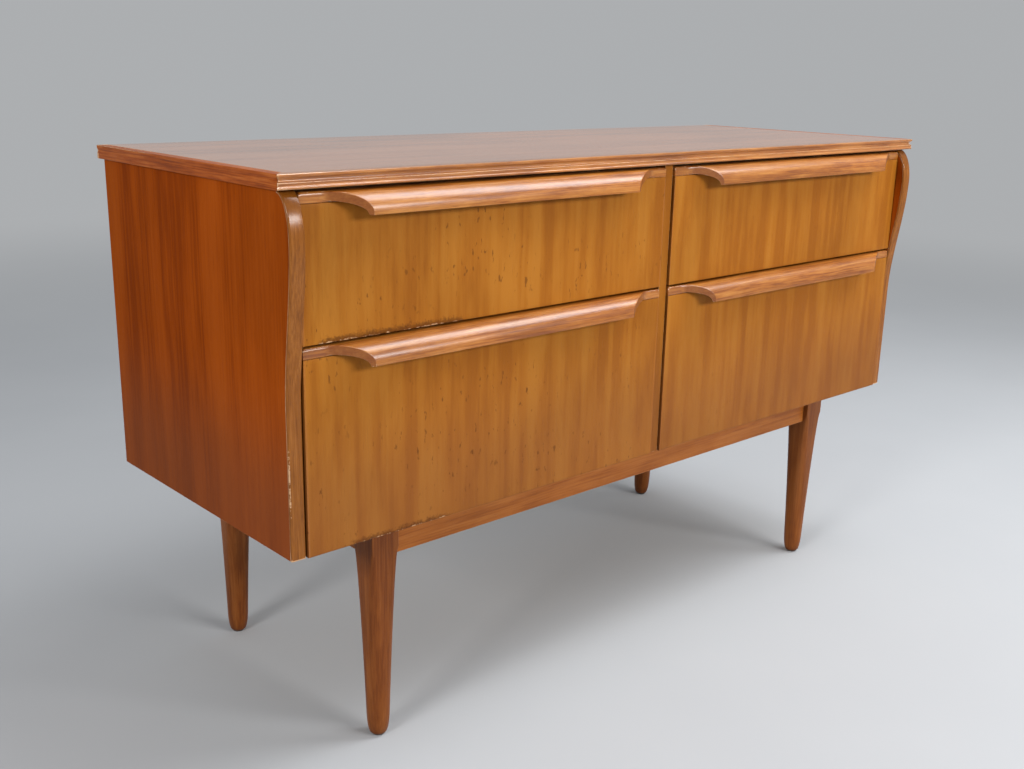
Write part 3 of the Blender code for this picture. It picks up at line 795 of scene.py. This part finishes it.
# Node, wood, grain axis, and how far its edges are eased
BOARDS = (
    ("divider_lipping", "front", "z", 0.0006),
    ("frame_rail_front", "rail", "x", 0.0010),
    ("frame_rail_rear", "rail", "x", 0.0010),
    ("frame_rail_left", "rail", "y", 0.0010),
    ("frame_rail_right", "rail", "y", 0.0010),
    ("bottom_board", "timber", "x", 0.0005),
    ("centre_divider", "timber", "z", 0.0005),
    ("top_rail_front", "timber", "x", 0.0005),
    ("top_rail_rear", "timber", "x", 0.0005),
)


def build_carcase():
    for seed, (node, kind, grain, ease) in enumerate(BOARDS, start=11):
        low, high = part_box(node)
        material = wood(node + "_wood", kind, grain, seed, (low, high))
        stand_in(node, board_mesh(low, high), material, ease)
    for seed, name in enumerate(("left", "right"), start=25):
        build_side_panel(name, seed)
        build_side_lipping(name, chipped=name == "left")


# ---------------------------------------------------------------- drawers

def lip_reach(end, projection):
    """How far a handle's lip stands out at a distance from the handle's end."""
    slope = projection / (HANDLE_SCOOP_LENGTH - HANDLE_SCOOP_BLEND / 2)
    along = end - HANDLE_END_FLAT
    if along <= 0.0:
        return 0.0
    if along < HANDLE_SCOOP_BLEND:
        return slope * along ** 2 / (2 * HANDLE_SCOOP_BLEND)
    return min(slope * (along - HANDLE_SCOOP_BLEND / 2), projection)


def shortened(points, cut):
    """A line through points with a length cut off its far end."""
    points = list(points)
    while cut > 0.0:
        end = points.pop()
        length = math.dist(points[-1], end)
        if length > cut:
            share = cut / length
            points.append(tuple(p + (q - p) * share for p, q in zip(end, points[-1])))
            break
        cut -= length
    return points


def handle_section(x, reach, low, high, face_y, rail_z, top_z):
    """Outline of a handle where its lip comes out that far."""
    projection = face_y - low.y
    end_angle = math.asin(min(reach / projection, 1.0))
    outer = [(high.y, top_z), (face_y, top_z)]
    for i in range(1, 15):
        angle = end_angle * i / 14
        drop = HANDLE_CURVE_HEIGHT * (1 - math.cos(angle))
        outer.append((face_y - projection * math.sin(angle), top_z - drop))
    fall = high.z - low.z - HANDLE_UNDERSIDE_DROP
    hollow = projection - HANDLE_TIP

    def underside(out):
        share = min(out / hollow, 1.0)
        return high.z - HANDLE_UNDERSIDE_DROP - fall * (1 - math.sqrt(1 - share * share))

    front_y = face_y - reach
    under = [(front_y, underside(reach))]
    for i in range(1, 15):
        out = min(reach, hollow) * math.cos(math.pi / 2 * i / 14)
        under.append((face_y - out, underside(out)))
    under.extend([(face_y, rail_z), (high.y, rail_z)])
    crest = outer[-1]
    bluntness = 1 - fraction(reach, 0.0, HANDLE_SHARP_REACH)
    radius = HANDLE_SHARP_ARRIS + (HANDLE_ARRIS - HANDLE_SHARP_ARRIS) * bluntness
    outer = shortened(outer, radius)
    arris_end = (front_y, crest[1] - radius)
    arris = []
    for i in range(1, 5):
        t = i / 5
        arris.append(tuple(
            (1 - t) ** 2 * a + 2 * t * (1 - t) * b + t ** 2 * c
            for a, b, c in zip(outer[-1], crest, arris_end)
        ))
    outline = spread(outer, 20) + arris + spread([arris_end, under[0]], 5)[:-1] + spread(under, 22)
    return [(x, y, z) for y, z in outline]


def handle_stations(width):
    """Distances from a handle's end, close together where it is carved."""
    stations = list(HANDLE_END_STATIONS)
    blend_steps = 12
    for i in range(blend_steps):
        stations.append(HANDLE_END_FLAT + HANDLE_SCOOP_BLEND * i / blend_steps)
    straight_start = HANDLE_END_FLAT + HANDLE_SCOOP_BLEND
    tip = HANDLE_END_FLAT + HANDLE_SCOOP_LENGTH
    straight_steps = 18
    for i in range(straight_steps):
        stations.append(straight_start + (tip - straight_start) * i / straight_steps)
    stations.extend(tip + step for step in HANDLE_TIP_STATIONS)
    middle_steps = 30
    start = stations[-1]
    middle = [start + (width - 2 * start) * i / middle_steps for i in range(1, middle_steps)]
    return stations + middle + [width - station for station in reversed(stations)]


def build_handle(drawer, seed):
    node = "drawer_" + drawer + "_handle"
    low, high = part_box(node)
    front_low, front_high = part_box("drawer_" + drawer + "_front")
    rail_z = front_high.z + FIT_GAP
    projection = front_low.y - low.y
    width = high.x - low.x
    rings = []
    for station in handle_stations(width):
        end = min(station, width - station)
        sink = max(HANDLE_CORNER - end, 0.0)
        top_z = high.z - (HANDLE_CORNER - math.sqrt(HANDLE_CORNER ** 2 - sink ** 2))
        reach = lip_reach(end, projection)
        rings.append(handle_section(low.x + station, reach, low, high, front_low.y, rail_z, top_z))
    bm = loft(rings)
    rubbed_y = front_low.y - HANDLE_RUBBED_OUT
    rubbed_z = high.z - HANDLE_RUBBED_DOWN
    paint_wear(bm, lambda place: place.y < rubbed_y or place.z > rubbed_z)
    stand_in(node, bm, wood("handle_wood_" + drawer, "handle", "x", seed), ease=HANDLE_EASE)


def build_front(drawer, seed):
    node = "drawer_" + drawer + "_front"
    low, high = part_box(node)
    start, end, depth, stain = FRONT_CHIPS[drawer]
    width = high.x - low.x
    steps = 190
    corner_steps = 4
    rings = []
    shares = [i / steps for i in range(steps + 1)]
    shares[1:1] = [END_SHADE_BAND / width]
    shares[-1:-1] = [1 - END_SHADE_BAND / width]
    for share in shares:
        x = low.x + width * share
        chipped = fraction(share, start, start + CHIP_RAMP) * (1 - fraction(share, end - CHIP_RAMP, end))
        fine = FINE_CHIP_SHARE * ripple(x, 0.9, 0.4, scale=FINE_CHIPS)
        bite = max(ripple(x, 0.3, 0.1, scale=COARSE_CHIPS) + fine, 0.0)
        radius = BOARD_EASE + depth * chipped * bite
        outline = [(high.y, low.z)]
        for k in range(corner_steps + 1):
            angle = math.pi / 2 * k / corner_steps
            outline.append((low.y + radius * (1 - math.sin(angle)), low.z + radius * (1 - math.cos(angle))))
        outline.extend((low.y, low.z + rise) for rise in FRONT_ROWS)
        outline.append((low.y, high.z - 0.006))
        for k in range(corner_steps + 1):
            angle = math.pi / 2 * k / corner_steps
            inward = BOARD_EASE * (1 - math.cos(angle))
            outline.append((low.y + inward, high.z - BOARD_EASE * (1 - math.sin(angle))))
        outline.append((high.y, high.z))
        rings.append([(x, y, z) for y, z in outline])
    bm = loft(rings)

    def battered(place):
        share = (place.x - low.x) / width
        return fraction(share, start - 0.01, start + 0.03) * (1 - fraction(share, end - 0.06, end + 0.05))

    def rubbing(place):
        hurt = stain * battered(place)
        uneven = max(ripple(place.x, 0.5, 0.5, scale=75.0) + 0.5, 0.0)
        reach = FRONT_WEAR_REACH + FRONT_CHIP_REACH * hurt * uneven
        patchy = FRONT_PATCHY * hurt * ripple(place.x, 0.2, place.z, scale=160.0)
        fade = 1 - fraction(place.z, low.z + FRONT_WEAR_FULL, low.z + reach)
        return (FRONT_RUBBED + FRONT_BATTERED * hurt + patchy) * fade

    def stain_and_end_shade(place):
        # Painted shade: the end faces are painted fully dark, standing in for the shade in the gaps beside
        # the fronts
        if min(place.x - low.x, high.x - place.x) < END_SHADE_BAND / 2:
            return 1.0
        fade = 1 - fraction(place.z, low.z + FRONT_WEAR_FULL, low.z + FRONT_STAIN_REACH)
        return stain * battered(place) * fade

    paint(bm, "wear", rubbing)
    # The stain attribute carries the real stain and the painted shade of the end faces
    paint(bm, "stain", stain_and_end_shade)
    specks = SPECKS_LEFT if drawer.endswith("left") else SPECKS_RIGHT
    material = wood("front_wood_" + drawer, "front", "z", seed, specks=specks)
    stand_in(node, bm, material, ease=BOARD_EASE)


def build_drawers():
    for seed, drawer in enumerate(DRAWERS, start=31):
        build_front(drawer, seed)
        build_handle(drawer, seed + 10)
        for part, grain in (("side_left", "y"), ("side_right", "y"), ("back", "x")):
            finish_node("drawer_" + drawer + "_" + part, "timber", grain, seed + 20)
        bottom = frame["nodes"]["drawer_" + drawer + "_bottom"]
        show_as(bottom, bare_panel("drawer_bottom_board_" + drawer, HARDBOARD_TONES, seed))


def show_as(node_object, material):
    """Give a node of the model its material."""
    node_object.data.materials.clear()
    node_object.data.materials.append(material)


def finish_node(node, kind, grain, seed):
    show_as(frame["nodes"][node], wood(node + "_wood", kind, grain, seed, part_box(node)))


def finish_hidden_nodes():
    """Materials of the nodes that are shown as they are."""
    show_as(frame["nodes"]["back_panel"], bare_panel("back_board", HARDBOARD_TONES, 7))
    for seed, node in enumerate(sorted(frame["nodes"]), start=71):
        if node.startswith("runner_"):
            finish_node(node, "timber", "y", seed)
        elif node.startswith("glide_"):
            show_as(frame["nodes"][node], moulded_plastic(node + "_plastic", GLIDE_COLOUR))


# ---------------------------------------------------------------- legs

def rounded_square(centre_x, centre_y, z, half, corner):
    """Ring of points around a square with rounded corners."""
    steps = 8
    ring = []
    for quarter in range(4):
        start = quarter * math.pi / 2
        turn_x = math.cos(start + math.pi / 4) * math.sqrt(2) * (half - corner)
        turn_y = math.sin(start + math.pi / 4) * math.sqrt(2) * (half - corner)
        for i in range(steps + 1):
            angle = start + math.pi / 2 * i / steps
            x = centre_x + turn_x + corner * math.cos(angle)
            y = centre_y + turn_y + corner * math.sin(angle)
            ring.append((x, y, z))
    return ring


def build_leg(name, seed):
    node = "leg_" + name
    low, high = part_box(node)
    glide_low, glide_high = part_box("glide_" + name)
    half_head = (high.x - low.x) / 2
    centre_x = (low.x + high.x) / 2
    head_y = low.y + half_head
    kick = (glide_low.y + glide_high.y) / 2 - head_y
    rounding_z = low.z + FOOT_ROUNDING_HEIGHT
    steps = 34
    levels = [high.z]
    for i in range(steps + 1):
        levels.append(LEG_TAPER_TOP_Z + (rounding_z - LEG_TAPER_TOP_Z) * i / steps)
    foot_steps = 10
    feet = [math.pi / 2 * i / foot_steps for i in range(1, foot_steps + 1)]
    sections = []
    for z in levels:
        half = FOOT_RADIUS + (half_head - FOOT_RADIUS) * fraction(z, low.z, LEG_TAPER_TOP_Z)
        roundness = math.sqrt(1 - fraction(z, LEG_ROUND_Z, LEG_TAPER_TOP_Z))
        corner = LEG_ARRIS + (half * LEG_ROUNDEST - LEG_ARRIS) * roundness
        sections.append((z, half, corner))
    last_half = sections[-1][1]
    for angle in feet:
        half = last_half - FOOT_ROUNDING * (1 - math.cos(angle))
        z = low.z + FOOT_ROUNDING_HEIGHT * (1 - math.sin(angle))
        sections.append((z, half, half * LEG_ROUNDEST))
    rings = []
    for z, half, corner in sections:
        shift = kick * (1 - fraction(z, low.z, high.z))
        rings.append(rounded_square(centre_x, head_y + shift, z, half, corner))
    bm = loft(rings)
    paint_wear(bm)
    stand_in(node, bm, wood("leg_wood_" + name, "leg", "z", seed), ease=LEG_EASE)


def build_back_pins():
    """Small panel pins along the edges of the back panel."""
    low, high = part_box("back_panel")
    bm = bmesh.new()
    places = []
    columns = 9
    for i in range(columns):
        x = low.x + PIN_INSET + (high.x - low.x - 2 * PIN_INSET) * i / (columns - 1)
        places.extend([(x, low.z + PIN_INSET), (x, high.z - PIN_INSET)])
    for share in (0.25, 0.5, 0.75):
        z = low.z + (high.z - low.z) * share
        places.extend([(low.x + PIN_INSET * 0.6, z), (0.0, z), (high.x - PIN_INSET * 0.6, z)])
    for x, z in places:
        dome = bmesh.ops.create_uvsphere(bm, u_segments=12, v_segments=6, radius=PIN_RADIUS)
        flat = Matrix.Diagonal((1.0, PIN_FLATTENING, 1.0, 1.0))
        bmesh.ops.transform(bm, matrix=Matrix.Translation((x, high.y, z)) @ flat, verts=dome["verts"])
    add_piece("back_panel_pins", bm, bright_metal("pin_steel", PIN_COLOUR), "carcase")


# ---------------------------------------------------------------- floor, light and camera

def build_stage():
    """Pale floor that fades into the colour of the room far out."""
    bm = bmesh.new()
    bmesh.ops.create_grid(bm, x_segments=4, y_segments=4, size=FLOOR_SIZE)
    mesh = bpy.data.meshes.new("floor")
    bm.to_mesh(mesh)
    bm.free()
    shader = Shader("floor_paint")
    place = shader.place()
    mottle = shader.noise(place, 3.0, 4.0)
    paint_colour = shader.mix(mottle, *FLOOR_PAINT)
    length_node = shader.tree.nodes.new("ShaderNodeVectorMath")
    length_node.operation = "LENGTH"
    shader.feed(length_node.inputs[0], place)
    far = shader.remap(length_node.outputs["Value"], FLOOR_FADE_START, FLOOR_FADE_END)
    shader.feed(shader.surface.inputs["Base Color"], shader.mix(far, paint_colour, (0.0, 0.0, 0.0)))
    shader.feed(shader.surface.inputs["Emission Color"], shader.mix(far, (0.0, 0.0, 0.0), ROOM_COLOUR))
    shader.surface.inputs["Emission Strength"].default_value = ROOM_BRIGHTNESS
    shader.surface.inputs["Roughness"].default_value = FLOOR_ROUGHNESS
    shader.surface.inputs["Specular IOR Level"].default_value = 0.0
    mesh.materials.append(shader.material)
    floor = bpy.data.objects.new("floor", mesh)
    bpy.context.scene.collection.objects.link(floor)


def build_lights():
    for name, place, target, width, height, power, colour in LIGHTS:
        data = bpy.data.lights.new(name, "AREA")
        data.shape = "RECTANGLE"
        data.size = width
        data.size_y = height
        data.energy = power
        data.color = colour
        lamp = bpy.data.objects.new(name, data)
        lamp.location = place
        lamp.rotation_mode = "QUATERNION"
        lamp.rotation_quaternion = (Vector(target) - Vector(place)).to_track_quat("-Z", "Y")
        bpy.context.scene.collection.objects.link(lamp)
    world = bpy.data.worlds.new("room")
    world.use_nodes = True
    background = world.node_tree.nodes["Background"]
    background.inputs["Color"].default_value = (*ROOM_COLOUR, 1.0)
    background.inputs["Strength"].default_value = ROOM_BRIGHTNESS
    bpy.context.scene.world = world
    bpy.context.scene.view_settings.view_transform = "Standard"


def build_camera():
    forward = Vector((
        -math.sin(CAMERA_YAW) * math.cos(CAMERA_PITCH),
        math.cos(CAMERA_YAW) * math.cos(CAMERA_PITCH),
        math.sin(CAMERA_PITCH),
    ))
    right = forward.cross(Vector((0.0, 0.0, 1.0))).normalized()
    upward = right.cross(forward)
    tilted_right = math.cos(CAMERA_ROLL) * right + math.sin(CAMERA_ROLL) * upward
    tilted_up = math.cos(CAMERA_ROLL) * upward - math.sin(CAMERA_ROLL) * right
    data = bpy.data.cameras.new("camera")
    data.sensor_width = SENSOR_WIDTH
    data.lens = CAMERA_LENS
    camera = bpy.data.objects.new("camera", data)
    turn = Matrix((tilted_right, tilted_up, -forward)).transposed().to_4x4()
    camera.matrix_world = Matrix.Translation(CAMERA_PLACE) @ turn
    bpy.context.scene.collection.objects.link(camera)
    bpy.context.scene.camera = camera


build_top()
build_carcase()
build_drawers()
finish_hidden_nodes()
for leg_seed, leg_name in enumerate(("front_left", "front_right", "rear_left", "rear_right"), start=61):
    build_leg(leg_name, leg_seed)
build_back_pins()
build_stage()
build_lights()
build_camera()
